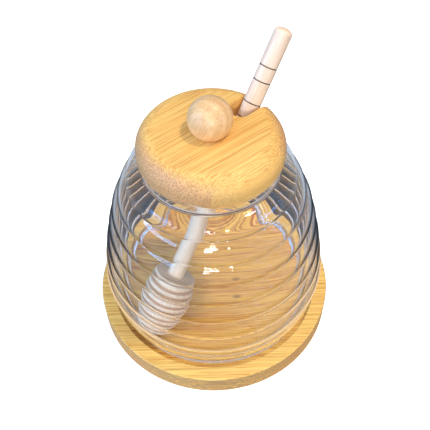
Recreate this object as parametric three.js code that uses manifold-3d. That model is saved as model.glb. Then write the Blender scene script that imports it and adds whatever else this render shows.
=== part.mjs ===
// Honey jar set: a ribbed glass jar with a turned bamboo lid, standing on a round bamboo tray, and a wooden honey
// dipper that leans in the jar and comes out through a notch in the lid.
// Millimetres, +Z up. The origin is on the table under the middle of the tray. The notch opens towards +X.
import * as THREE from "three";
import { mergeVertices } from "three/addons/utils/BufferGeometryUtils.js";
import Module from "manifold-3d";

// Tray: a turned disc with a shallow recess that holds the foot of the jar.
const TRAY_R = 59.4;
const TRAY_T = 12;
const RECESS_R = 52.4;
const RECESS_DEPTH = 5;
const TRAY_EASE = 0.8;

// Gap between pieces that only rest on each other.
const SEAT = 0.1;

// Jar: BELLY holds the radius of the rib crests against height above the jar's foot. FIRST_VALLEY is the groove above
// the foot roll; from SECOND_VALLEY on the grooves are evenly spaced.
const BELLY = [
  [48.8, 0],
  [52.7, 13],
  [54.4, 24],
  [53.3, 33],
  [49.7, 53],
  [44.3, 73],
  [38.7, 85.5],
  [36, 92],
];
const FIRST_VALLEY = 6.5;
const SECOND_VALLEY = 19;
const RIB_PITCH = 11;
const RIB_COUNT = 7;
const RIB_DEPTH = 1.45;
const RIB_DEPTH_INSIDE = 1.35;
const FOOT_ROUND = 3;
const FOOT_SPREAD = 0.9;
const WALL = 1.6;
const FLOOR_T = 2.6;
const NECK_FOOT = 93;
const NECK_R = 30.4;
const NECK_THINNING = 0.8;
const MOUTH_R = 26.4;
const JAR_H = 99.4;

// Lid: a disc with a large rounding on its upper edge and a plug that drops into the mouth.
const LID_GAP = 0.2;
const LID_R = 31.6;
const LID_T = 11.7;
const LID_ROUND = 8.3;
const PLUG_CLEAR = 0.5;
const PLUG_DEPTH = 4;
const LID_EASE = 0.5;
const NOTCH_W = 9.8;
const NOTCH_END = 13.1;

// Knob: a ball with a flat cut on its underside.
const KNOB_R = 9.4;
const KNOB_RISE = 6;

// Dipper: HEAD_END is the middle of the head's end face, TIP the end of the handle.
const HEAD_END = new THREE.Vector3(-43.4, -1.2, 14.2);
const TIP = new THREE.Vector3(43.3, 0.7, 145.6);
const HANDLE_R = 4;
const HEAD_LENGTH = 32.5;
const HEAD_DISCS = 8;
const HEAD_R = [8.4, 12.2, 9.4];
const HEAD_CUT = 2.8;
const DISC_SHARE = 0.58;
const END_EASE = 1;
const CUT_TAPER = 0.2;
const BANDS = [16.8, 23.3, 33.3, 40.3];
const BAND_W = 0.8;
const BAND_DEPTH = 0.35;
const TIP_DOME = 2.2;
const RELIEF = 0.4;

// Derived heights.
const jarFoot = TRAY_T - RECESS_DEPTH + SEAT;
const jarTop = jarFoot + JAR_H;
const lidBottom = jarTop + LID_GAP;
const lidTop = lidBottom + LID_T;
const dipperAxis = TIP.clone().sub(HEAD_END);
const dipperLength = dipperAxis.length();
dipperAxis.normalize();

const wasm = await Module();
wasm.setup();

function wood(colour) {
  return new THREE.MeshStandardMaterial({ color: colour, roughness: 0.55, metalness: 0 });
}

function glass(colour) {
  return new THREE.MeshStandardMaterial({
    color: colour,
    roughness: 0.05,
    metalness: 0,
    transparent: true,
    opacity: 0.35,
  });
}

// Turns a profile of [radius, height] points about Z.
function turned(profile, segments) {
  const points = profile.map(([r, z]) => new THREE.Vector2(Math.max(r, 0), z));
  return new THREE.LatheGeometry(points, segments).rotateX(Math.PI / 2);
}

// Points of an arc about [r, z] from angle a to b, in degrees from the outward direction.
function arc(r, z, radius, a, b, steps) {
  const points = [];
  for (let i = 0; i <= steps; i++) {
    const t = THREE.MathUtils.degToRad(a + ((b - a) * i) / steps);
    points.push([r + radius * Math.cos(t), z + radius * Math.sin(t)]);
  }
  return points;
}

function solid(geometry) {
  const bare = geometry.clone();
  bare.deleteAttribute("normal");
  bare.deleteAttribute("uv");
  const merged = mergeVertices(bare, 1e-4);
  return new wasm.Manifold(
    new wasm.Mesh({
      numProp: 3,
      vertProperties: merged.attributes.position.array,
      triVerts: new Uint32Array(merged.index.array),
    }),
  );
}

function geometryOf(manifold) {
  const mesh = manifold.getMesh();
  const geometry = new THREE.BufferGeometry();
  geometry.setAttribute("position", new THREE.BufferAttribute(mesh.vertProperties, 3));
  geometry.setIndex(new THREE.BufferAttribute(mesh.triVerts, 1));
  geometry.computeVertexNormals();
  return geometry;
}

function piece(name, geometry, material) {
  const mesh = new THREE.Mesh(geometry, material);
  mesh.name = name;
  return mesh;
}

function tray() {
  const floor = TRAY_T - RECESS_DEPTH;
  const e = TRAY_EASE;
  const profile = [
    [0, 0],
    [TRAY_R - e, 0],
    [TRAY_R, e],
    [TRAY_R, TRAY_T - e],
    [TRAY_R - e, TRAY_T],
    [RECESS_R + e / 2, TRAY_T],
    [RECESS_R, TRAY_T - e / 2],
    [RECESS_R, floor + e],
    [RECESS_R - e, floor],
    [0, floor],
  ];
  return piece("tray", turned(profile, 72), wood(0xd9b67e));
}

// Crest radius of the ribs at a height above the jar's foot.
const bellyCurve = new THREE.SplineCurve(BELLY.map(([r, z]) => new THREE.Vector2(r, z)));
const bellySamples = bellyCurve.getPoints(200);
function crest(z) {
  const i = bellySamples.findIndex((p) => p.y >= z);
  const above = bellySamples[i < 0 ? bellySamples.length - 1 : Math.max(i, 1)];
  const below = bellySamples[bellySamples.indexOf(above) - 1];
  return THREE.MathUtils.mapLinear(z, below.y, above.y, below.x, above.x);
}

// One wall surface of the ribs from the first valley up: each rib bulges between two valleys.
function ribs(inset, depth, steps) {
  const valleys = [FIRST_VALLEY];
  for (let k = 0; k < RIB_COUNT; k++) valleys.push(SECOND_VALLEY + k * RIB_PITCH);
  const points = [];
  for (let k = 0; k + 1 < valleys.length; k++) {
    for (let i = 0; i < steps; i++) {
      const t = i / steps;
      const z = THREE.MathUtils.lerp(valleys[k], valleys[k + 1], t);
      const bulge = 4 * t * (1 - t);
      points.push([crest(z) - inset - depth * (1 - bulge), z]);
    }
  }
  const last = valleys.at(-1);
  points.push([crest(last) - inset - depth, last]);
  return points;
}

// Shoulder: a rounded rib from the last valley, [r, z], in to the foot of the neck.
function shoulder([r, z], neckR, neckZ, steps) {
  const curve = new THREE.CubicBezierCurve(
    new THREE.Vector2(r, z),
    new THREE.Vector2(r + 0.4, z + (neckZ - z) * 0.75),
    new THREE.Vector2(neckR + (r - neckR) * 0.45, neckZ - 0.4),
    new THREE.Vector2(neckR, neckZ),
  );
  return curve.getPoints(steps).slice(1).map((p) => [p.x, p.y]);
}

function jar() {
  const outside = ribs(0, RIB_DEPTH, 4);
  const inside = ribs(WALL, RIB_DEPTH_INSIDE, 3);
  const lip = (NECK_R - MOUTH_R) / 2;
  const footR = crest(0) + FOOT_SPREAD - FOOT_ROUND;
  const heel = FIRST_VALLEY - FLOOR_T;
  const profile = [
    [0, 0],
    ...arc(footR, FOOT_ROUND, FOOT_ROUND, -90, 25, 5),
    ...outside,
    ...shoulder(outside.at(-1), NECK_R, NECK_FOOT, 5),
    [NECK_R, JAR_H - lip],
    ...arc(NECK_R - lip, JAR_H - lip, lip, 0, 180, 6).slice(1),
    ...shoulder(inside.at(-1), MOUTH_R, NECK_FOOT - NECK_THINNING, 4).reverse(),
    ...inside.reverse(),
    ...arc(inside.at(-1)[0] - heel, FIRST_VALLEY, heel, 0, -90, 4).slice(1),
    [0, FLOOR_T],
  ];
  return piece("jar", turned(profile, 48).translate(0, 0, jarFoot), glass(0xdfe5df));
}

function notchCutter() {
  const half = NOTCH_W / 2;
  const shape = new THREE.Shape();
  shape.moveTo(LID_R + 5, -half);
  shape.lineTo(LID_R + 5, half);
  shape.lineTo(NOTCH_END + half, half);
  shape.absarc(NOTCH_END + half, 0, half, Math.PI / 2, (3 * Math.PI) / 2, false);
  shape.closePath();
  const depth = LID_T + PLUG_DEPTH + 2;
  const cutter = new THREE.ExtrudeGeometry(shape, { depth, bevelEnabled: false, curveSegments: 12 });
  return cutter.translate(0, 0, lidBottom - PLUG_DEPTH - 1);
}

// A bore along the leaning handle, so that the plug clears it.
function handleBore() {
  const radius = HANDLE_R + RELIEF;
  const bore = new THREE.CylinderGeometry(radius, radius, dipperLength, 28);
  bore.applyQuaternion(new THREE.Quaternion().setFromUnitVectors(new THREE.Vector3(0, 1, 0), dipperAxis));
  const middle = HEAD_END.clone().add(TIP).multiplyScalar(0.5);
  return bore.translate(middle.x, middle.y, middle.z);
}

function lid() {
  const plugR = MOUTH_R - PLUG_CLEAR;
  const profile = [
    [0, -PLUG_DEPTH],
    [plugR - LID_EASE, -PLUG_DEPTH],
    [plugR, LID_EASE - PLUG_DEPTH],
    [plugR, 0],
    [LID_R - LID_EASE, 0],
    [LID_R, LID_EASE],
    ...arc(LID_R - LID_ROUND, LID_T - LID_ROUND, LID_ROUND, 0, 90, 7),
    [0, LID_T],
  ];
  const blank = solid(turned(profile, 64).translate(0, 0, lidBottom));
  const cut = blank.subtract(solid(notchCutter())).subtract(solid(handleBore()));
  return piece("lid", geometryOf(cut), wood(0xd8a765));
}

function knob() {
  const start = -THREE.MathUtils.radToDeg(Math.asin(KNOB_RISE / KNOB_R));
  const profile = [[0, -KNOB_RISE], ...arc(0, 0, KNOB_R, start, 90, 12)];
  const centre = lidTop + SEAT + KNOB_RISE;
  return piece("knob", turned(profile, 32).translate(0, 0, centre), wood(0xc9a181));
}

// Radius of the head's barrel outline at t, from 0 at its end to 1 at the handle.
function barrel(t) {
  const [end, middle, top] = HEAD_R;
  return end * (1 - t) * (1 - 2 * t) + 4 * middle * t * (1 - t) + top * t * (2 * t - 1);
}

function dipper() {
  const pitch = HEAD_LENGTH / HEAD_DISCS;
  const disc = pitch * DISC_SHARE;
  const profile = [
    [0, 0],
    [HEAD_R[0] - END_EASE, 0],
  ];
  for (let k = 0; k < HEAD_DISCS; k++) {
    const low = k === 0 ? END_EASE : k * pitch;
    const high = k * pitch + disc;
    profile.push([barrel(low / HEAD_LENGTH), low], [barrel(high / HEAD_LENGTH), high]);
    if (k + 1 === HEAD_DISCS) break;
    const next = (k + 1) * pitch;
    const core = barrel((high + next) / 2 / HEAD_LENGTH) - HEAD_CUT;
    profile.push([core, high + CUT_TAPER], [core, next - CUT_TAPER]);
  }
  const headTop = (HEAD_DISCS - 1) * pitch + disc;
  profile.push([HANDLE_R, headTop + END_EASE]);
  for (const fromTip of [...BANDS].reverse()) {
    const a = dipperLength - fromTip;
    profile.push([HANDLE_R, a - BAND_W / 2], [HANDLE_R - BAND_DEPTH, a - BAND_W / 5]);
    profile.push([HANDLE_R - BAND_DEPTH, a + BAND_W / 5], [HANDLE_R, a + BAND_W / 2]);
  }
  for (let i = 0; i <= 4; i++) {
    const t = (i / 4) * (Math.PI / 2);
    profile.push([HANDLE_R * Math.cos(t), dipperLength - TIP_DOME * (1 - Math.sin(t))]);
  }
  const mesh = piece("dipper", turned(profile, 22), wood(0xe3c9ab));
  mesh.quaternion.setFromUnitVectors(new THREE.Vector3(0, 0, 1), dipperAxis);
  mesh.position.copy(HEAD_END);
  return mesh;
}

const set = new THREE.Group();
set.name = "honey_jar_set";
set.add(tray(), jar(), lid(), knob(), dipper());

export default set;
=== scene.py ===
# %% [markdown]
# # A honey jar set: glass, bamboo and beech
# The object is an empty beehive jar of clear glass. It stands in the recess of a round bamboo
# tray, under a bamboo lid with a ball knob, and a beech dipper leans out through a notch in the
# lid. Nearly everything here was made by turning: the glass in a round mould, the wood on a
# lathe. So the lesson builds one lathe out of Geometry Nodes and uses it for every piece. The
# finishes are solid textures: grain that runs through the wood, so that end grain shows where a
# rounded edge cuts the fibres.

# %% Load the frame
import math

import bmesh
import bpy
import numpy as np
from mathutils import Matrix, Quaternion, Vector


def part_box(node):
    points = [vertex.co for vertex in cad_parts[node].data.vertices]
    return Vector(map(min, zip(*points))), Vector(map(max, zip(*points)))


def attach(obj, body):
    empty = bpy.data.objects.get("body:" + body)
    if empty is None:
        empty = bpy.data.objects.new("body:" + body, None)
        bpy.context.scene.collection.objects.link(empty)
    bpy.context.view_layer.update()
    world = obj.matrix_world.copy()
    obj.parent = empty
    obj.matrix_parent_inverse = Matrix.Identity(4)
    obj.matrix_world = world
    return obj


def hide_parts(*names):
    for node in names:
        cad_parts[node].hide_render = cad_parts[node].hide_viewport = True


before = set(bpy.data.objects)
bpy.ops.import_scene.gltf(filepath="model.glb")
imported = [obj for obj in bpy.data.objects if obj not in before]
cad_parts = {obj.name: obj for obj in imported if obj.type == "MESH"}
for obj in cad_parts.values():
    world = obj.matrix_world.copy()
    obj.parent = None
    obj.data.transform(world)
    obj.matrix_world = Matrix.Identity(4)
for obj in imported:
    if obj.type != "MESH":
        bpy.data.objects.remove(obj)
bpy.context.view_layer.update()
MM = 0.001

# %% [markdown]
# ## The camera
# The camera comes first. Its place was found by fitting a pinhole camera to the ellipses of tray,
# lid and jar. The object's own +X axis points to the notch in the lid, which the photo shows at
# the back on the right, so one turn about Z leads from the photographer's axes to the object's.

# %% Place the camera
VIEW_TURN = math.radians(-42.5)
CAMERA_BACK = 195.4 * MM
CAMERA_UP = 302.0 * MM
CAMERA_PITCH = math.radians(50.66)
CAMERA_YAW = math.radians(0.35)
CAMERA_ROLL = math.radians(-1.21)
FOCAL_PIXELS = 652.4
IMAGE_PIXELS = 430
SENSOR = 36.0
NEAREST = 0.01


def from_viewer(right, away, up):
    """A point given as the photographer sees it, turned into the object's frame."""
    return Matrix.Rotation(VIEW_TURN, 4, "Z") @ Vector((right, away, up))


def camera_axes():
    """Right, up and forward of the camera in the photographer's axes."""
    flat = math.cos(CAMERA_PITCH)
    forward = Vector(
        (math.sin(CAMERA_YAW) * flat, math.cos(CAMERA_YAW) * flat, -math.sin(CAMERA_PITCH))
    )
    right = forward.cross(Vector((0, 0, 1))).normalized()
    tilt = Quaternion(forward, -CAMERA_ROLL)
    right = tilt @ right
    return right, right.cross(forward), forward


camera = bpy.data.objects.new("camera", bpy.data.cameras.new("camera"))
camera.data.sensor_width = SENSOR
camera.data.lens = FOCAL_PIXELS / IMAGE_PIXELS * SENSOR
camera.data.clip_start = NEAREST
right, up, forward = (from_viewer(*axis) for axis in camera_axes())
camera_turn = Matrix((right, up, -forward)).transposed().to_4x4()
camera_place = Matrix.Translation(from_viewer(0, -CAMERA_BACK, CAMERA_UP))
camera.matrix_world = camera_place @ camera_turn
bpy.context.scene.collection.objects.link(camera)
bpy.context.scene.camera = camera
print("camera at mm:", [round(v / MM, 1) for v in camera.matrix_world.translation])

# %% [markdown]
# ## Writing node trees as arithmetic
# A node tree is easier to read as a formula. One small class wraps a socket, and its operators
# add Math nodes, so that `1 - mask` or `a * b + c` builds the tree. Every other node comes from
# one method, which takes the node's type, then its settings, then what goes into its sockets. The
# same class serves shaders and Geometry Nodes.


# %% One class for sockets
class Wire:
    """An output socket of a node tree that can be added, multiplied and so on."""

    def __init__(self, tree, socket):
        self.tree = tree
        self.socket = socket

    @staticmethod
    def node(tree, kind, settings=None, inputs=None, output=0):
        """Adds a node, sets it up, feeds its sockets, and returns the output asked for."""
        made = tree.nodes.new(kind)
        for name, value in (settings or {}).items():
            setattr(made, name, value)
        for key, value in (inputs or {}).items():
            if isinstance(value, Wire):
                tree.links.new(value.socket, made.inputs[key])
            else:
                made.inputs[key].default_value = value
        return Wire(tree, made.outputs[output])

    def math(self, operation, *values):
        settings = {"operation": operation}
        return Wire.node(self.tree, "ShaderNodeMath", settings, dict(enumerate(values)))

    def __add__(self, other):
        return self.math("ADD", self, other)

    def __radd__(self, other):
        return self.math("ADD", other, self)

    def __sub__(self, other):
        return self.math("SUBTRACT", self, other)

    def __rsub__(self, other):
        return self.math("SUBTRACT", other, self)

    def __mul__(self, other):
        return self.math("MULTIPLY", self, other)

    def __rmul__(self, other):
        return self.math("MULTIPLY", other, self)

    def __truediv__(self, other):
        return self.math("DIVIDE", self, other)

    def __rtruediv__(self, other):
        return self.math("DIVIDE", other, self)

    def __pow__(self, other):
        return self.math("POWER", self, other)

    def __rpow__(self, other):
        return self.math("POWER", other, self)

    def floor(self):
        return self.math("FLOOR", self)

    def fraction(self):
        return self.math("FRACT", self)

    def rounded(self):
        return self.math("ROUND", self)

    def sin(self):
        return self.math("SINE", self)

    def cos(self):
        return self.math("COSINE", self)

    def absolute(self):
        return self.math("ABSOLUTE", self)

    def larger(self, other):
        return self.math("MAXIMUM", self, other)

    def ramp(self, low, high):
        """A smooth step from 0 at low to 1 at high; low may be the larger of the two."""
        settings = {"interpolation_type": "SMOOTHSTEP"}
        sockets = {"Value": self, "From Min": low, "From Max": high}
        return Wire.node(self.tree, "ShaderNodeMapRange", settings, sockets)

    def split(self):
        made = Wire.node(self.tree, "ShaderNodeSeparateXYZ", None, {0: self}).socket.node
        return [Wire(self.tree, socket) for socket in made.outputs]

    def joined(self, *others):
        parts = dict(enumerate((self, *others)))
        return Wire.node(self.tree, "ShaderNodeCombineXYZ", None, parts)

    def length(self):
        settings = {"operation": "LENGTH"}
        return Wire.node(self.tree, "ShaderNodeVectorMath", settings, {0: self}, output=1)

    def reach(self, direction):
        """How far this vector reaches in a direction."""
        settings = {"operation": "DOT_PRODUCT"}
        sockets = {0: self, 1: direction}
        return Wire.node(self.tree, "ShaderNodeVectorMath", settings, sockets, output=1)

    def mix(self, first, second):
        """This wire as the share of the second colour in a mix of two."""
        sockets = {0: self, 6: first, 7: second}
        return Wire.node(self.tree, "ShaderNodeMix", {"data_type": "RGBA"}, sockets, output=2)

    def bump(self, strength, distance):
        """This wire as a height that tilts the surface."""
        sockets = {"Strength": strength, "Distance": distance, "Height": self}
        return Wire.node(self.tree, "ShaderNodeBump", None, sockets)

    def into(self, node, name):
        """Feeds one input of a node that exists already."""
        self.tree.links.new(self.socket, node.inputs[name])


def colour(red, green, blue):
    """A colour given in the photo's 0 to 255 values, as the linear light that shaders use."""
    linear = []
    for value in (red / 255, green / 255, blue / 255):
        dark = value <= 0.04045
        linear.append(value / 12.92 if dark else ((value + 0.055) / 1.055) ** 2.4)
    return (*linear, 1.0)


print("a middle grey is", round(colour(128, 128, 128)[0], 3), "in linear light")

# %% [markdown]
# ## The lathe
# A lathe turns one outline about an axis. A Screw modifier could do it; here a Geometry Nodes
# tree does, because it can also add what hand work leaves: a slight waviness in blown glass. The
# outline is a plain chain of points, radius and height. The tree makes a grid with one column for
# each step of the turn and one row for each point, looks up the point for its row, and swings it
# round the axis.


# %% Build the lathe tree
def lathe_inputs(tree):
    for name, kind in (
        ("Outline", "NodeSocketGeometry"),
        ("Steps", "NodeSocketInt"),
        ("Waviness", "NodeSocketFloat"),
        ("Wave Scale", "NodeSocketFloat"),
        ("Seed", "NodeSocketFloat"),
        ("Finish", "NodeSocketMaterial"),
    ):
        tree.interface.new_socket(name, in_out="INPUT", socket_type=kind)
    tree.interface.new_socket("Turned", in_out="OUTPUT", socket_type="NodeSocketGeometry")
    entry = tree.nodes.new("NodeGroupInput")
    return {socket.name: Wire(tree, socket) for socket in entry.outputs}


def lathe_tree():
    tree = bpy.data.node_groups.new("lathe", "GeometryNodeTree")
    given = lathe_inputs(tree)
    outline = {0: given["Outline"]}
    rows = Wire.node(tree, "GeometryNodeAttributeDomainSize", {"component": "MESH"}, outline)
    grid = Wire.node(
        tree,
        "GeometryNodeMeshGrid",
        None,
        {"Size X": 1.0, "Size Y": 1.0, "Vertices X": given["Steps"] + 1, "Vertices Y": rows},
    )
    place = Wire.node(tree, "GeometryNodeInputPosition")
    x, y, _ = place.split()
    turn = (x + 0.5) * math.tau
    row = ((y + 0.5) * (rows - 1)).rounded()
    point = Wire.node(
        tree,
        "GeometryNodeSampleIndex",
        {"data_type": "FLOAT_VECTOR", "domain": "POINT"},
        {"Geometry": given["Outline"], "Value": place, "Index": row},
    )
    radius, _, height = point.split()
    swung = (radius * turn.cos()).joined(radius * turn.sin(), height)
    waves = Wire.node(
        tree,
        "ShaderNodeTexNoise",
        {"noise_dimensions": "4D"},
        {"Vector": swung, "W": given["Seed"], "Scale": given["Wave Scale"], "Detail": 1.0},
    )
    swell = 1 + (waves - 0.5) * given["Waviness"]
    wavy = (radius * swell * turn.cos()).joined(radius * swell * turn.sin(), height)
    shape = grid
    for kind, sockets in (
        ("GeometryNodeSetPosition", {"Position": wavy}),
        ("GeometryNodeMergeByDistance", {"Distance": 1e-7}),
        ("GeometryNodeSetShadeSmooth", {}),
        ("GeometryNodeRealizeInstances", {}),
        ("GeometryNodeSetMaterial", {"Material": given["Finish"]}),
    ):
        shape = Wire.node(tree, kind, None, {"Geometry": shape, **sockets})
    shape.into(tree.nodes.new("NodeGroupOutput"), "Turned")
    return tree


lathe = lathe_tree()
print("lathe tree:", len(lathe.nodes), "nodes")

# %% [markdown]
# ## From outline to mesh
# The tree runs as a modifier on a chain of edges. A modifier's inputs are set by the sockets'
# identifiers, because names can repeat. The result is then copied into a plain mesh, which is
# what an export can use. Which way the faces look depends on the direction in which the outline
# was drawn; the sign of the enclosed volume tells, and the faces are turned outwards if needed.


# %% Turn an outline into a plain mesh
def face_outwards(mesh):
    """Turns every face outwards, judged by the sign of the enclosed volume."""
    work = bmesh.new()
    work.from_mesh(mesh)
    if work.calc_volume(signed=True) < 0:
        bmesh.ops.reverse_faces(work, faces=work.faces)
    work.to_mesh(mesh)
    work.free()


def turn_piece(name, outline, steps, finish, waviness=0.0, wave_scale=30.0, seed=0.0):
    """Turns an outline of (radius, height) points in mm, from the bottom, into a closed mesh."""
    chain = bpy.data.meshes.new(name)
    points = [(max(r, 0.0) * MM, 0.0, z * MM) for r, z in outline]
    chain.from_pydata(points, [(i, i + 1) for i in range(len(points) - 1)], [])
    blank = bpy.data.objects.new(name + "_outline", chain)
    bpy.context.scene.collection.objects.link(blank)
    modifier = blank.modifiers.new("lathe", "NODES")
    modifier.node_group = lathe
    values = {
        "Steps": steps,
        "Waviness": waviness,
        "Wave Scale": wave_scale,
        "Seed": seed,
        "Finish": finish,
    }
    for item in lathe.interface.items_tree:
        if item.item_type == "SOCKET" and item.in_out == "INPUT" and item.name in values:
            modifier[item.identifier] = values[item.name]
    evaluated = blank.evaluated_get(bpy.context.evaluated_depsgraph_get())
    mesh = bpy.data.meshes.new_from_object(evaluated)
    bpy.data.objects.remove(blank)
    piece = bpy.data.objects.new(name, mesh)
    bpy.context.scene.collection.objects.link(piece)
    face_outwards(mesh)
    print(name, "has", len(mesh.polygons), "faces")
    return piece


# %% [markdown]
# ## Outlines
# Outlines are drawn with two tools: arcs for everything rounded, and straight runs. Smooth
# shading would bend the light over a wide flat face next to a rounding, so a straight run gets an
# extra point close to each of its ends.


# %% Drawing tools for outlines
def arc(r, z, radius, start, end, steps):
    """Points round (r, z), with angles in degrees from the outward direction."""
    angles = np.radians(np.linspace(start, end, steps + 1))
    return [(r + radius * math.cos(a), z + radius * math.sin(a)) for a in angles]


def braced(points, near=0.25, long=1.2):
    """The same outline with a point close to both ends of each long straight run."""
    result = [points[0]]
    for (r0, z0), (r1, z1) in zip(points, points[1:]):
        length = math.hypot(r1 - r0, z1 - z0)
        if length > long:
            share = near / length
            for t in (share, 1 - share):
                result.append((r0 + (r1 - r0) * t, z0 + (z1 - z0) * t))
        result.append((r1, z1))
    return result


print("a straight run gets", len(braced([(0, 0), (10, 0)])), "points")

# %% [markdown]
# ## Grain
# A finish for wood is a solid texture in millimetres, so that it runs through the piece. Its
# coordinates are turned until x runs along the grain. Noise on coordinates that change slowly
# along the grain and fast across it gives streaks, whichever way a face cuts through them.


# %% Tools for grain
def new_finish(name):
    """An empty material, its tree and its Principled shader."""
    finish = bpy.data.materials.new(name)
    finish.use_nodes = True
    return finish, finish.node_tree, finish.node_tree.nodes["Principled BSDF"]


def object_place(tree):
    """The point on the surface in the object's own coordinates, in metres."""
    return Wire.node(tree, "ShaderNodeTexCoord", output=3)


def grain_space(tree, turn):
    """Object coordinates in mm, turned so that x runs along the grain."""
    sockets = {
        "Vector": object_place(tree),
        "Rotation": (0.0, 0.0, -turn),
        "Scale": (1 / MM, 1 / MM, 1 / MM),
    }
    return Wire.node(tree, "ShaderNodeMapping", None, sockets)


def stretched(place, pace):
    """Coordinates that run at a slow pace along the grain and a fast one across it."""
    along, across, up = place
    slow, fast = pace
    return (along * slow).joined(across * fast, up * fast)


def noise(vector, scale=1.0, detail=2.0):
    sockets = {"Vector": vector, "Scale": scale, "Detail": detail}
    return Wire.node(vector.tree, "ShaderNodeTexNoise", None, sockets)


def cells(vector):
    """Distance to the middle of the nearest of many scattered cells."""
    sockets = {"Vector": vector, "Scale": 1.0}
    return Wire.node(vector.tree, "ShaderNodeTexVoronoi", None, sockets)


print("grain is measured in steps of", MM, "m")

# %% [markdown]
# ## Bamboo
# Bamboo board is glued from slats. Along the grain it shows long lines, short dashes and fine
# hairs; where the fibres are cut across, as on the lid's rounded front, the same fibres show as
# dots. A picture wrapped round the piece could not do that. Each board has its own tone, which
# shows most in its end grain, so a glue joint is a step in tone. Upright sides take a darker,
# greyer tone than the top, partly raw wood and partly painted shade, and small knots are dark
# spots.

# %% A bamboo finish
SWAY_PACE = (0.01, 0.05)
BROAD_PACE = (0.01, 0.3)
LINE_PACE = (0.012, 2.3)
DASH_PACE = (0.06, 2.8)
HAIR_PACE = (0.03, 5.0)
BUNDLE_PACE = (0.014, 2.1)
BOARD_SHIFT = 7.3
FIBRE_SHARES = (0.5, 0.36, 0.32)
KNOT = colour(116, 62, 24)
FINE_BUMP = 0.0001


def recess_shade_tones(tree, tones, inside):
    """The pale and deep tone, changed inside a radius in mm to darker, more orange ones: painted
    shade.
    """
    radius, *shaded = inside
    x, y, _ = object_place(tree).split()
    inner = ((x * x + y * y) ** 0.5).ramp(radius * MM, (radius - 1.0) * MM)
    return [inner.mix(*pair) for pair in zip(tones, shaded)]


def bamboo(name, tones, turn, board, joint, inside=None, knots=()):
    """tones: pale and deep long grain, end grain, sides (raw wood and painted shade). turn: the
    grain's direction.

    board, joint: width of a board and place of one glue joint in mm. inside: a radius inside
    which pale and deep turn darker and more orange, as painted shade. knots: their places along
    and across the grain in mm.
    """
    finish, tree, shader = new_finish(name)
    pale, deep, cut, raw_and_shaded = tones
    # painted shade: inside the recess radius, pale and deep turn darker and more orange
    if inside:
        pale, deep = recess_shade_tones(tree, (pale, deep), inside)
    along, across, up = grain_space(tree, turn).split()
    number = ((across - joint) / board).floor()
    tone = (number * 0.62 + 0.9).fraction()
    sway = noise(stretched((along, across, up), SWAY_PACE))
    swayed = (along, across + (sway - 0.5) * 0.8 + number * BOARD_SHIFT, up)
    broad = noise(stretched(swayed, BROAD_PACE)).ramp(0.3, 0.7)
    line = noise(stretched(swayed, LINE_PACE), detail=1.0).ramp(0.42, 0.6)
    dash = noise(stretched(swayed, DASH_PACE), detail=1.0).ramp(0.54, 0.66)
    hair = noise(stretched(swayed, HAIR_PACE))
    dots = cells(stretched(swayed, BUNDLE_PACE)).ramp(0.5, 0.24)

    normal = Wire.node(tree, "ShaderNodeNewGeometry", output=1)
    end_grain = normal.reach((math.cos(turn), math.sin(turn), 0.0)).absolute().ramp(0.2, 0.8)
    upright = normal.split()[2].absolute().ramp(0.75, 0.2)
    shade = broad * 0.25 + line * 0.65 + dash * 0.55 + hair * 0.25 + tone * 0.12 - 0.32
    long_grain = shade.mix(pale, deep)
    # painted shade: upright faces take the darker side tone, partly raw wood and partly shade
    sided = (upright * (0.4 + line * 0.5 + dash * 0.3)).mix(long_grain, raw_and_shaded)
    worked = (end_grain * (0.05 + tone * 0.75)).mix(sided, cut)
    fibre = (*(c * share for c, share in zip(cut, FIBRE_SHARES)), 1.0)
    wood = (dots * (0.15 + end_grain * (0.4 + tone * 0.5))).mix(worked, fibre)
    for knot_along, knot_across in knots:
        off_along = (along - knot_along) * 0.5
        off_across = across - knot_across
        spot = (off_along * off_along + off_across * off_across).ramp(2.4, 0.3)
        wood = (spot * (0.6 + dash * 0.4)).mix(wood, KNOT)

    wood.into(shader, "Base Color")
    (0.4 + hair * 0.2).into(shader, "Roughness")
    (hair * 0.6 - dots * 0.5 - line * 0.3).bump(0.25, FINE_BUMP).into(shader, "Normal")
    shader.inputs["IOR"].default_value = 1.45
    print(name, "has", len(tree.nodes), "nodes")
    return finish


# %% [markdown]
# ## The tray
# The tray is a plain turned disc: a flat underside, an upright edge with slightly eased corners,
# and a recess that keeps the jar's foot in place. Inside the recess the board is painted darker
# and more orange, as painted shade, and two small knots lie near its middle.

# %% Turn the tray
TRAY_LOW, TRAY_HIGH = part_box("tray")
TRAY_R = TRAY_HIGH[0] / MM
TRAY_T = TRAY_HIGH[2] / MM
RECESS_R = 52.4
RECESS_FLOOR = TRAY_T - 5.0
EASE = 0.8
RECESS_EASE = 0.5
TRAY_BOARD = 31.0
TRAY_JOINT = 9.0
TRAY_TONES = (
    colour(252, 206, 116),
    colour(214, 146, 62),
    colour(206, 166, 112),
    # the sides' tone: raw wood, darkened further as painted shade
    colour(160, 138, 102),
)
# painted shade: darker, more orange tones inside the recess
RECESS_SHADE = (RECESS_R, colour(255, 198, 98), colour(188, 96, 26))
TRAY_KNOTS = ((12.3, -3.0), (12.2, -13.2))


def tray_outline():
    return braced(
        [
            (0, 0),
            *arc(TRAY_R - EASE, EASE, EASE, -90, 0, 5),
            *arc(TRAY_R - EASE, TRAY_T - EASE, EASE, 0, 90, 6),
            *arc(RECESS_R + RECESS_EASE, TRAY_T - RECESS_EASE, RECESS_EASE, 90, 180, 5),
            *arc(RECESS_R - EASE, RECESS_FLOOR + EASE, EASE, 0, -90, 5),
            (0, RECESS_FLOOR),
        ]
    )


tray_bamboo = bamboo(
    "tray_bamboo", TRAY_TONES, VIEW_TURN, TRAY_BOARD, TRAY_JOINT, RECESS_SHADE, TRAY_KNOTS
)
tray = turn_piece("tray_turned", tray_outline(), 160, tray_bamboo)

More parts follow.
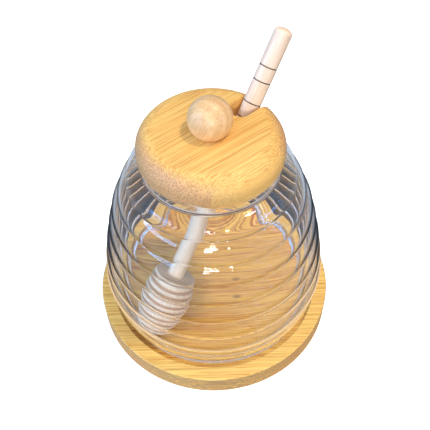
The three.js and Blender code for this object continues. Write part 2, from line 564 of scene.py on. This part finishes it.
# %% [markdown]
# ## The jar
# The jar was blown in a ribbed mould. Each rib bulges between two narrow valleys. The outline
# follows that rule: a smooth belly curve for the crests, and for each rib a parabola that drops
# to the valleys. The inside follows the outside as a thin wall, a little lower. With walls in
# step like that, what lies behind is seen in one piece, and only the valleys bend the light
# enough to show as thin dark lines.

# %% The rule of the ribs
JAR_LOW, JAR_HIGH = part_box("jar")
JAR_FOOT = JAR_LOW[2] / MM
JAR_H = JAR_HIGH[2] / MM - JAR_FOOT
BELLY_Z = (0, 13, 24, 33, 53, 73, 85.5, 92)
BELLY_R = (48.8, 52.7, 54.4, 53.3, 49.7, 44.3, 38.7, 36)
RIB_PITCH = 11
VALLEYS = [6.5] + [19 + RIB_PITCH * k for k in range(7)]
RIB_DEPTH = 1.45
RIB_STEPS = 24


def belly(z):
    """Radius of the rib crests: a smooth curve through the measured points."""
    k = min(max(np.searchsorted(BELLY_Z, z, side="right") - 1, 0), len(BELLY_Z) - 2)
    z0, z1 = BELLY_Z[k], BELLY_Z[k + 1]
    slopes = np.gradient(BELLY_R, BELLY_Z)
    t = (z - z0) / (z1 - z0)
    weights = (
        2 * t**3 - 3 * t**2 + 1,
        (t**3 - 2 * t**2 + t) * (z1 - z0),
        3 * t**2 - 2 * t**3,
        (t**3 - t**2) * (z1 - z0),
    )
    ends = (BELLY_R[k], slopes[k], BELLY_R[k + 1], slopes[k + 1])
    return sum(w * e for w, e in zip(weights, ends))


def rib_wall(inset, drop, valley_round):
    """Points up one face of the wall, rib by rib, closest together in the valleys."""
    valleys = [valley - drop for valley in VALLEYS]
    heights = [valleys[0]]
    for low, high in zip(valleys, valleys[1:]):
        for k in range(1, RIB_STEPS + 1):
            heights.append(low + (high - low) * (1 - math.cos(math.pi * k / RIB_STEPS)) / 2)
    points = []
    for z in heights:
        away = math.hypot(min(abs(z - valley) for valley in valleys), valley_round)
        dip = RIB_DEPTH * max(1 - away / (RIB_PITCH / 2), 0) ** 2
        points.append((belly(z) - inset - dip, z))
    return points


print("the jar has", len(VALLEYS) - 1, "ribs and is", round(JAR_H, 1), "mm tall")

# %% [markdown]
# ## The jar's outline
# Above the ribs a shoulder leads to a short neck with a rounded lip; below them the wall rolls
# under into the foot. A wide roll keeps the foot light: a tight one would trap the light in the
# glass and show as a dark band.

# %% Draw the jar's outline
WALL = 1.2
FLOOR_T = 2.6
INSIDE_DROP = 0.35
VALLEY_ROUND = 0.15
VALLEY_ROUND_INSIDE = 0.2
FOOT_ROUND = 4.0
FOOT_R = belly(0) + 0.9
NECK_R = 30.4
MOUTH_R = 26.4
NECK_FOOT = 93.0
INNER_NECK_FOOT = NECK_FOOT - 0.8


def curved(start, first, second, end, steps):
    """Points of a cubic curve after its start."""
    ends = [np.array(p, float) for p in (start, first, second, end)]
    result = []
    for t in np.linspace(0, 1, steps + 1)[1:]:
        weights = ((1 - t) ** 3, 3 * t * (1 - t) ** 2, 3 * t**2 * (1 - t), t**3)
        result.append(tuple(sum(w * p for w, p in zip(weights, ends))))
    return result


def shoulder(start, neck_r, neck_z, steps):
    r, z = start
    bend = (neck_r + (r - neck_r) * 0.45, neck_z - 0.4)
    return curved(start, (r + 0.4, z + (neck_z - z) * 0.75), bend, (neck_r, neck_z), steps)


def jar_outline():
    outside = rib_wall(0.0, 0.0, VALLEY_ROUND)
    inside = rib_wall(WALL, INSIDE_DROP, VALLEY_ROUND_INSIDE)
    inside_r, inside_z = inside[0]
    heel = inside_z - FLOOR_T
    lip = (NECK_R - MOUTH_R) / 2
    outline = [
        (0, 0),
        *arc(FOOT_R - FOOT_ROUND, FOOT_ROUND, FOOT_ROUND, -90, 25, 14),
        *outside,
        *shoulder(outside[-1], NECK_R, NECK_FOOT, 16),
        *arc(NECK_R - lip, JAR_H - lip, lip, 0, 180, 18),
        *reversed(shoulder(inside[-1], MOUTH_R, INNER_NECK_FOOT, 14)),
        *reversed(inside),
        *arc(inside_r - heel, inside_z, heel, 0, -90, 10)[1:],
        (0, FLOOR_T),
    ]
    return braced([(r, z + JAR_FOOT) for r, z in outline])


print("the jar's outline has", len(jar_outline()), "points")

# %% [markdown]
# ## Clear glass
# The glass itself has no colour to speak of. What the eye reads as glass is what it bends and
# mirrors, so the finish is a smooth transmitting shader with the bending power of common glass. A
# faint unevenness in the surface keeps the reflections from looking computed. A renderer finds it
# hard to send lamp light through bent glass, so the glass lets shadow rays and scattered light
# pass straight through: then the wood inside and below is lit.


# %% Blow the jar
def clear_glass():
    finish, tree, shader = new_finish("clear_glass")
    noise(object_place(tree), 55.0, 1.0).bump(0.08, 0.001).into(shader, "Normal")
    shader.inputs["Base Color"].default_value = (0.975, 0.985, 0.978, 1.0)
    shader.inputs["Roughness"].default_value = 0.0
    shader.inputs["IOR"].default_value = 1.5
    shader.inputs["Transmission Weight"].default_value = 1.0
    path = tree.nodes.new("ShaderNodeLightPath")
    see_through = {"Color": (0.97, 0.98, 0.97, 1.0)}
    open_way = Wire.node(tree, "ShaderNodeBsdfTransparent", None, see_through)
    surface = Wire(tree, shader.outputs["BSDF"])
    for kind in ("Is Diffuse Ray", "Is Shadow Ray"):
        sockets = {0: Wire(tree, path.outputs[kind]), 1: surface, 2: open_way}
        surface = Wire.node(tree, "ShaderNodeMixShader", None, sockets)
    surface.into(tree.nodes["Material Output"], "Surface")
    return finish


jar = turn_piece(
    "jar_blown", jar_outline(), 192, clear_glass(), waviness=0.002, wave_scale=18.0, seed=4.0
)

# %% [markdown]
# ## Where the dipper lies
# The dipper leans in the jar and comes out through the lid. Lid and dipper both need its place,
# so it is settled first: the middle of its lower end and of its tip. The lower end is seen only
# through the ribs, so it was moved until the bent view of it agreed with the photo.

# %% The dipper's place
DIPPER_END = Vector((-43.4, -1.2, 14.2))
DIPPER_TIP = Vector((43.3, 0.7, 145.6))
DIPPER_LENGTH = (DIPPER_TIP - DIPPER_END).length
DIPPER_TURN = Vector((0, 0, 1)).rotation_difference(DIPPER_TIP - DIPPER_END)
LEAN = DIPPER_TURN.to_matrix().to_4x4()
HANDLE_R = 4.0
print("the dipper is", round(DIPPER_LENGTH, 1), "mm long")

# %% [markdown]
# ## The lid
# The lid is a thick disc with a generous rounding on top and a plug below, glued from wide
# boards: one joint crosses its front. The grain runs towards the notch.

# %% Turn the lid
LID_LOW, LID_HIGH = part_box("lid")
LID_R = -LID_LOW[0] / MM
LID_TOP = LID_HIGH[2] / MM
PLUG_BOTTOM = LID_LOW[2] / MM
LID_BOTTOM = PLUG_BOTTOM + 4.0
LID_ROUND = 8.3
LID_EASE = 0.5
PLUG_R = MOUTH_R - 0.5
LID_GRAIN = math.radians(-5.5)
LID_BOARD = 50.0
LID_JOINT = -25.0
LID_TONES = (
    colour(248, 204, 120),
    colour(218, 152, 70),
    colour(214, 162, 118),
    # the sides' tone: raw wood, with painted shade
    colour(240, 190, 112),
)


def lid_outline():
    return braced(
        [
            (0, PLUG_BOTTOM),
            *arc(PLUG_R - LID_EASE, PLUG_BOTTOM + LID_EASE, LID_EASE, -90, 0, 4),
            (PLUG_R, LID_BOTTOM),
            *arc(LID_R - LID_EASE, LID_BOTTOM + LID_EASE, LID_EASE, -90, 0, 5),
            *arc(LID_R - LID_ROUND, LID_TOP - LID_ROUND, LID_ROUND, 0, 90, 24),
            (0, LID_TOP),
        ]
    )


lid_bamboo = bamboo("lid_bamboo", LID_TONES, LID_GRAIN, LID_BOARD, LID_JOINT)
lid = turn_piece("lid_turned", lid_outline(), 160, lid_bamboo)

# %% [markdown]
# ## The notch
# The notch was milled into the turned blank, so here too it is cut from the turned mesh, with a
# cutter shaped like the mill's path. A slanted bore along the handle clears the plug. The cutters
# carry the lid's finish, because a cut face takes its finish from the cutter.

# %% Cut the notch
NOTCH_W = 9.8
NOTCH_END = 13.1
BORE_R = HANDLE_R + 0.4
SHARP_ANGLE = math.radians(35)


def as_cutter(work, name):
    """Makes the shape that was worked on into an object with the lid's finish."""
    mesh = bpy.data.meshes.new(name)
    work.to_mesh(mesh)
    work.free()
    mesh.materials.append(lid_bamboo)
    return bpy.data.objects.new(name, mesh)


def notch_cutter():
    """A prism with the notch's outline, open to the lid's edge."""
    half = NOTCH_W / 2
    outline = [(LID_R + 5, -half), (LID_R + 5, half)]
    outline += [(NOTCH_END + half + x, y) for x, y in arc(0, 0, half, 90, 270, 24)]
    low, high = (PLUG_BOTTOM - 1) * MM, (LID_TOP + 1) * MM
    work = bmesh.new()
    base = work.faces.new([work.verts.new((x * MM, y * MM, low)) for x, y in outline])
    lifted = bmesh.ops.extrude_face_region(work, geom=[base])["geom"]
    corners = [v for v in lifted if isinstance(v, bmesh.types.BMVert)]
    bmesh.ops.translate(work, vec=(0, 0, high - low), verts=corners)
    bmesh.ops.recalc_face_normals(work, faces=work.faces)
    return as_cutter(work, "notch_cutter")


def bore_cutter():
    """A slanted cylinder along the handle."""
    work = bmesh.new()
    bmesh.ops.create_cone(
        work,
        cap_ends=True,
        segments=48,
        radius1=BORE_R * MM,
        radius2=BORE_R * MM,
        depth=DIPPER_LENGTH * MM,
        matrix=Matrix.Translation((DIPPER_END + DIPPER_TIP) / 2 * MM) @ LEAN,
    )
    return as_cutter(work, "bore_cutter")


def cut_from(piece, cutter):
    """Subtracts the cutter from the piece and keeps the result as a plain mesh."""
    bpy.context.scene.collection.objects.link(cutter)
    modifier = piece.modifiers.new("cut", "BOOLEAN")
    modifier.operation = "DIFFERENCE"
    modifier.solver = "EXACT"
    modifier.object = cutter
    evaluated = piece.evaluated_get(bpy.context.evaluated_depsgraph_get())
    mesh = bpy.data.meshes.new_from_object(evaluated)
    piece.modifiers.remove(modifier)
    piece.data = mesh
    bpy.data.objects.remove(cutter)


for cutter in (notch_cutter(), bore_cutter()):
    cut_from(lid, cutter)
lid.data.set_sharp_from_angle(angle=SHARP_ANGLE)
print("lid after cutting:", len(lid.data.polygons), "faces")

# %% [markdown]
# ## Beech
# Knob and dipper are pale beech. Its growth rings are soft bands round the heart of the tree, and
# tiny dark flecks run along the grain. Each piece has its own place in the log, so the finish
# takes a placement: where the piece's own axis lies, and how far off the heart it was cut. Burnt
# rings are narrow bands at given heights along that axis.

# %% A beech finish
STREAK_PACE = (1.6, 0.09)
FLECK_PACE = (2.2, 0.45)
RING_BEND = 2.5
RING_LEAN = 0.06


def beech(name, tones, origin, turn, heart, ring_width, marks=(), polish=0.0):
    """tones: pale and deep. origin and turn place the grain's axis, which is the local z.

    heart: offset of that axis from the tree's middle in mm. marks: place, half width and colour
    of burnt rings. polish: how much of a glossy coat the wood has.
    """
    finish, tree, shader = new_finish(name)
    pale, deep = tones
    sockets = {
        "Vector": object_place(tree),
        "Location": origin * MM,
        "Rotation": turn.to_euler(),
        "Scale": (MM, MM, MM),
    }
    local = Wire.node(tree, "ShaderNodeMapping", {"vector_type": "TEXTURE"}, sockets)
    x, y, z = local.split()
    far_x = x + heart[0] + (noise(local, 0.07) - 0.5) * RING_BEND
    far_y = y + heart[1] + z * RING_LEAN
    distance = (far_x * far_x + far_y * far_y) ** 0.5
    rings = (distance * (math.tau / ring_width)).sin() * 0.5 + 0.5
    across, along = STREAK_PACE
    streak = noise((x * across).joined(y * across, z * along), detail=3.0)
    across, along = FLECK_PACE
    fleck = cells((x * across).joined(y * across, z * along)).ramp(0.22, 0.08)
    shade = rings * 0.3 + streak.ramp(0.3, 0.75) * 0.5 - 0.1
    dark = (*(c * 0.5 for c in deep[:3]), 1.0)
    wood = (fleck * 0.18).mix(shade.mix(pale, deep), dark)
    for at, half_width, burn in marks:
        mask = (z - at).absolute().ramp(half_width, half_width * 0.35)
        wood = (mask * 0.85).mix(wood, burn)

    wood.into(shader, "Base Color")
    (0.5 + streak * 0.15).into(shader, "Roughness")
    (streak * 0.4 - fleck * 0.4).bump(0.2, FINE_BUMP).into(shader, "Normal")
    shader.inputs["Coat Weight"].default_value = polish
    shader.inputs["Coat Roughness"].default_value = 0.35
    print(name, "has", len(tree.nodes), "nodes")
    return finish


# %% [markdown]
# ## The knob
# The knob is a polished ball with a flat on its underside, glued to the lid. Its grain stands
# nearly upright.

# %% Turn the knob
KNOB_LOW, KNOB_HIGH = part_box("knob")
KNOB_BOTTOM = KNOB_LOW[2] / MM
KNOB_R = 9.4
KNOB_CENTRE = KNOB_HIGH[2] / MM - KNOB_R
KNOB_TURN = Quaternion((0.62, 0.78, 0), math.radians(24))


def knob_outline():
    drop = KNOB_CENTRE - KNOB_BOTTOM
    start = -math.degrees(math.asin(drop / KNOB_R))
    return braced([(0, KNOB_BOTTOM), *arc(0, KNOB_CENTRE, KNOB_R, start, 90, 48)])


knob_wood = beech(
    "knob_beech",
    (colour(240, 198, 142), colour(204, 142, 82)),
    origin=Vector((0, 0, KNOB_CENTRE)),
    turn=KNOB_TURN,
    heart=(26.0, 8.0),
    ring_width=4.2,
    polish=0.8,
)
knob = turn_piece("knob_ball", knob_outline(), 72, knob_wood)

# %% [markdown]
# ## The dipper
# The dipper is one turned piece: a thin handle with four burnt rings, pressed in with a wire
# while it spun, and a barrel head cut into discs that hold the honey. Its outline is drawn
# upright, head first, and the finished mesh is then laid at its lean.

# %% Draw the dipper's outline
HEAD_LENGTH = 32.5
HEAD_DISCS = 8
HEAD_R = (8.4, 12.2, 9.4)
HEAD_CUT = 2.8
DISC_SHARE = 0.58
DISC_RIM = 0.55
HANDLE_FILLET = 1.0
BANDS = (16.8, 23.3, 33.3, 40.3)
BAND_W = 0.7
BAND_DEPTH = 0.5
TIP_DOME = 2.2


def barrel(a):
    """Radius of the head's outline at a distance from its end: a parabola through three radii."""
    t = a / HEAD_LENGTH
    end, middle, top = HEAD_R
    return end * (1 - t) * (1 - 2 * t) + 4 * middle * t * (1 - t) + top * t * (2 * t - 1)


def head_outline():
    """Rounded discs with rounded grooves between them, and a fillet to the handle."""
    pitch = HEAD_LENGTH / HEAD_DISCS
    points = [(0.0, 0.0)]
    for k in range(HEAD_DISCS):
        low = k * pitch
        high = low + pitch * DISC_SHARE
        r_low = barrel(low + DISC_RIM) - DISC_RIM
        r_high = barrel(high - DISC_RIM) - DISC_RIM
        points += arc(r_low, low + DISC_RIM, DISC_RIM, -90, 0, 5)
        points += arc(r_high, high - DISC_RIM, DISC_RIM, 0, 90, 5)
        if k + 1 < HEAD_DISCS:
            half_gap = (low + pitch - high) / 2
            core = barrel(high + half_gap) - HEAD_CUT
            points += arc(core + half_gap, high + half_gap, half_gap, -90, -270, 8)
    return points + arc(
        HANDLE_R + HANDLE_FILLET, high + HANDLE_FILLET, HANDLE_FILLET, -90, -180, 6
    )


def handle_outline():
    """The handle with its pressed rings, and a domed tip."""
    points = []
    for from_tip in reversed(BANDS):
        at = DIPPER_LENGTH - from_tip
        for t in np.linspace(-1, 1, 9):
            hollow = BAND_DEPTH * math.cos(t * math.pi / 2) ** 2
            points.append((HANDLE_R - hollow, at + t * BAND_W / 2))
    for t in np.linspace(0, math.pi / 2, 11):
        points.append((HANDLE_R * math.cos(t), DIPPER_LENGTH - TIP_DOME * (1 - math.sin(t))))
    return points


dipper_outline = braced(head_outline() + handle_outline())
print("the dipper's outline has", len(dipper_outline), "points")

# %% [markdown]
# ## Turning the dipper
# The dipper's beech is paler than the knob's and has no polish. Its grain runs along the leaning
# handle, so the finish is placed with the same lean as the mesh.

# %% Turn the dipper
BURNT = colour(74, 52, 48)
dipper_wood = beech(
    "dipper_beech",
    (colour(246, 220, 196), colour(224, 186, 152)),
    origin=DIPPER_END,
    turn=DIPPER_TURN,
    heart=(22.0, 9.0),
    ring_width=3.2,
    marks=[(DIPPER_LENGTH - from_tip, BAND_W * 0.55, BURNT) for from_tip in BANDS],
)
dipper = turn_piece("dipper_turned", dipper_outline, 64, dipper_wood)
dipper.data.transform(Matrix.Translation(DIPPER_END * MM) @ LEAN)

# %% [markdown]
# ## Put the pieces on the frame
# Each fine piece stands for the plain solid of the same place, and all of them ride on the one
# body.

# %% Tie pieces to the frame
for piece, node, slot in (
    (tray, "tray", "tray_bamboo"),
    (jar, "jar", "jar_glass"),
    (lid, "lid", "lid_bamboo"),
    (knob, "knob", "knob_wood"),
    (dipper, "dipper", "dipper_wood"),
):
    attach(piece, "root")
    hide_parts(node)
    print(piece.name, "stands for", node)

# %% [markdown]
# ## The floor
# The camera sees a plain white floor. Clear glass on white would hardly show, and a photographer
# lays coloured cards out of the picture for the glass to pick up. The floor stands in for such
# cards for every ray but the camera's own, but its cards glow with fixed colours instead of being
# lit, so what the glass shows of them is painted light: amber close to the tray, a dark ring
# round it and behind it, slate far away. What is looked at through the glass gets a pale
# distance, so that the jar stays clear from the side.

# %% Lay the floor
WHITE = (1.0, 1.0, 1.0, 1.0)
AMBER_CARD = (0.95, 0.66, 0.4, 1.0)
DARK_CARD = (0.025, 0.034, 0.05, 1.0)
SLATE_CARD = (0.3, 0.34, 0.4, 1.0)
PALE_DISTANCE = (0.66, 0.73, 0.86, 1.0)
RING_EDGE = (0.078, 0.09)
BEHIND_EDGE = (0.005, 0.04)
SLATE_EDGE = (0.11, 0.2)
DISTANCE_EDGE = (0.11, 0.18)
FLOOR_GLOW = 0.5
FLOOR_HALF = 3.0


def light_path(tree, kind):
    """1 for the kind of ray that is named, 0 for others."""
    return Wire(tree, tree.nodes.new("ShaderNodeLightPath").outputs[kind])


def pale_floor():
    finish, tree, shader = new_finish("pale_floor")
    tree.nodes.remove(shader)
    place = object_place(tree)
    far = place.length()
    behind = place.reach(from_viewer(0, 1, 0))
    dark = far.ramp(*RING_EDGE).larger(behind.ramp(*BEHIND_EDGE))
    near_cards = dark.mix(AMBER_CARD, DARK_CARD)
    all_cards = far.ramp(*SLATE_EDGE).mix(near_cards, SLATE_CARD)
    through = light_path(tree, "Is Transmission Ray") * far.ramp(*DISTANCE_EDGE)
    shown = through.mix(all_cards, PALE_DISTANCE)
    # painted light: the cards glow with fixed colours instead of being lit, for the glass to show
    cards = Wire.node(tree, "ShaderNodeEmission", None, {"Color": shown})
    plain = Wire.node(tree, "ShaderNodeBsdfDiffuse", None, {"Color": WHITE})
    glow = Wire.node(tree, "ShaderNodeEmission", None, {"Strength": FLOOR_GLOW})
    bright = Wire.node(tree, "ShaderNodeAddShader", None, {0: plain, 1: glow})
    sockets = {0: light_path(tree, "Is Camera Ray"), 1: cards, 2: bright}
    surface = Wire.node(tree, "ShaderNodeMixShader", None, sockets)
    surface.into(tree.nodes["Material Output"], "Surface")
    return finish


floor_mesh = bpy.data.meshes.new("floor")
signs = ((-1, -1), (1, -1), (1, 1), (-1, 1))
corners = [(x * FLOOR_HALF, y * FLOOR_HALF, 0.0) for x, y in signs]
floor_mesh.from_pydata(corners, [], [(0, 1, 2, 3)])
floor_mesh.materials.append(pale_floor())
floor = bpy.data.objects.new("floor", floor_mesh)
bpy.context.scene.collection.objects.link(floor)
print("the floor is", 2 * FLOOR_HALF, "m wide")

# %% [markdown]
# ## Light
# A warm key high on the right, a soft ceiling and a broad cool wall on the left light the wood,
# with a weak panel in front. Large panels would show as white patches in the glass, so these are
# not mirrored. What the glass mirrors is small: a thin blue window, a few strips in front that
# give the sparkles on the ribs, and two patches of sky that show in mirrors only.

# %% Hang the lights
AIM = (0.0, 0.0, 0.06)
WARM = (1.0, 0.84, 0.6)
NEUTRAL = (1.0, 0.97, 0.93)
COOL = (0.4, 0.62, 1.0)
WINDOW_BLUE = (0.22, 0.5, 1.0)
SKY_BLUE = (0.08, 0.34, 1.0)


def soft_light(name, place, size, level, tint, mirrored=True, matt=True):
    """An area light at a place given as the photographer sees it.

    level: how bright it makes a white card. mirrored: whether glass shows it. matt: whether it
    lights matt surfaces.
    """
    lamp = bpy.data.lights.new(name, "AREA")
    lamp.shape = "RECTANGLE"
    lamp.size, lamp.size_y = size
    spot = from_viewer(*place)
    away = spot - from_viewer(*AIM)
    lamp.energy = level * math.pi**2 * away.length_squared
    lamp.color = tint
    holder = bpy.data.objects.new(name, lamp)
    holder.visible_diffuse = matt
    holder.visible_glossy = mirrored
    holder.visible_transmission = mirrored
    turn = away.to_track_quat("Z", "Y").to_matrix().to_4x4()
    holder.matrix_world = Matrix.Translation(spot) @ turn
    bpy.context.scene.collection.objects.link(holder)
    print(name, "has", round(lamp.energy, 2), "W")


soft_light("key", (0.42, 0.05, 1.2), (0.12, 0.12), 0.46, WARM)
soft_light("ceiling", (0.1, 0.0, 1.5), (1.4, 1.4), 0.24, NEUTRAL, mirrored=False)
soft_light("window", (-0.87, -0.5, 0.34), (0.8, 0.06), 0.2, WINDOW_BLUE)
soft_light("sky_left", (-0.8, -0.35, 0.62), (0.5, 0.14), 0.2, SKY_BLUE, matt=False)
soft_light("sky_right", (0.85, -0.3, 0.5), (0.4, 0.12), 0.16, SKY_BLUE, matt=False)
soft_light("wall", (-1.0, -0.25, 0.62), (1.0, 0.7), 0.85, COOL, mirrored=False)
soft_light("strip", (-0.06, -1.2, 0.52), (0.3, 0.025), 0.2, NEUTRAL)
soft_light("strip_high", (-0.02, -1.2, 0.66), (0.14, 0.02), 0.08, NEUTRAL)
soft_light("strip_low", (-0.12, -1.2, 0.4), (0.16, 0.02), 0.08, NEUTRAL)
soft_light("strip_right", (0.34, -1.15, 0.5), (0.07, 0.02), 0.06, NEUTRAL)
soft_light("front", (0.55, -1.0, 0.65), (0.8, 0.6), 0.16, NEUTRAL, mirrored=False)

# %% [markdown]
# ## Surroundings
# Reflections need something to show, so the room is made of soft dark and pale patches under an
# even ceiling. As with the floor, what is looked at through the glass is pale, and the camera
# itself sees white. Light can run a long way inside the jar's floor before it gets out, so the
# paths of the light are allowed many turns; with fewer, the foot would be black.

# %% Set up the surroundings
ROOM_DARK = (0.03, 0.035, 0.045, 1.0)
ROOM_PALE = (0.4, 0.52, 0.68, 1.0)
ZENITH = (0.26, 0.32, 0.4, 1.0)
SEEN_THROUGH = (0.5, 0.58, 0.72, 1.0)
LIGHT_TURNS = 64


def studio():
    """A patchy room for reflections, pale through the glass and white for the camera."""
    world = bpy.data.worlds.new("studio")
    world.use_nodes = True
    tree = world.node_tree
    x, y, height = Wire.node(tree, "ShaderNodeTexCoord", output=0).split()
    patches = noise((x * 2.2).joined(y * 2.2, height * 1.1), 1.6, 3.0)
    room = patches.ramp(0.36, 0.66).mix(ROOM_DARK, ROOM_PALE)
    roofed = height.ramp(0.35, 0.9).mix(room, ZENITH)
    cleared = light_path(tree, "Is Transmission Ray").mix(roofed, SEEN_THROUGH)
    seen = light_path(tree, "Is Camera Ray").mix(cleared, WHITE)
    seen.into(tree.nodes["Background"], "Color")
    return world


bpy.context.scene.world = studio()
bpy.context.scene.view_settings.view_transform = "Standard"
for limit in ("max_bounces", "glossy_bounces", "transmission_bounces"):
    setattr(bpy.context.scene.cycles, limit, LIGHT_TURNS)
print("light may turn", LIGHT_TURNS, "times")
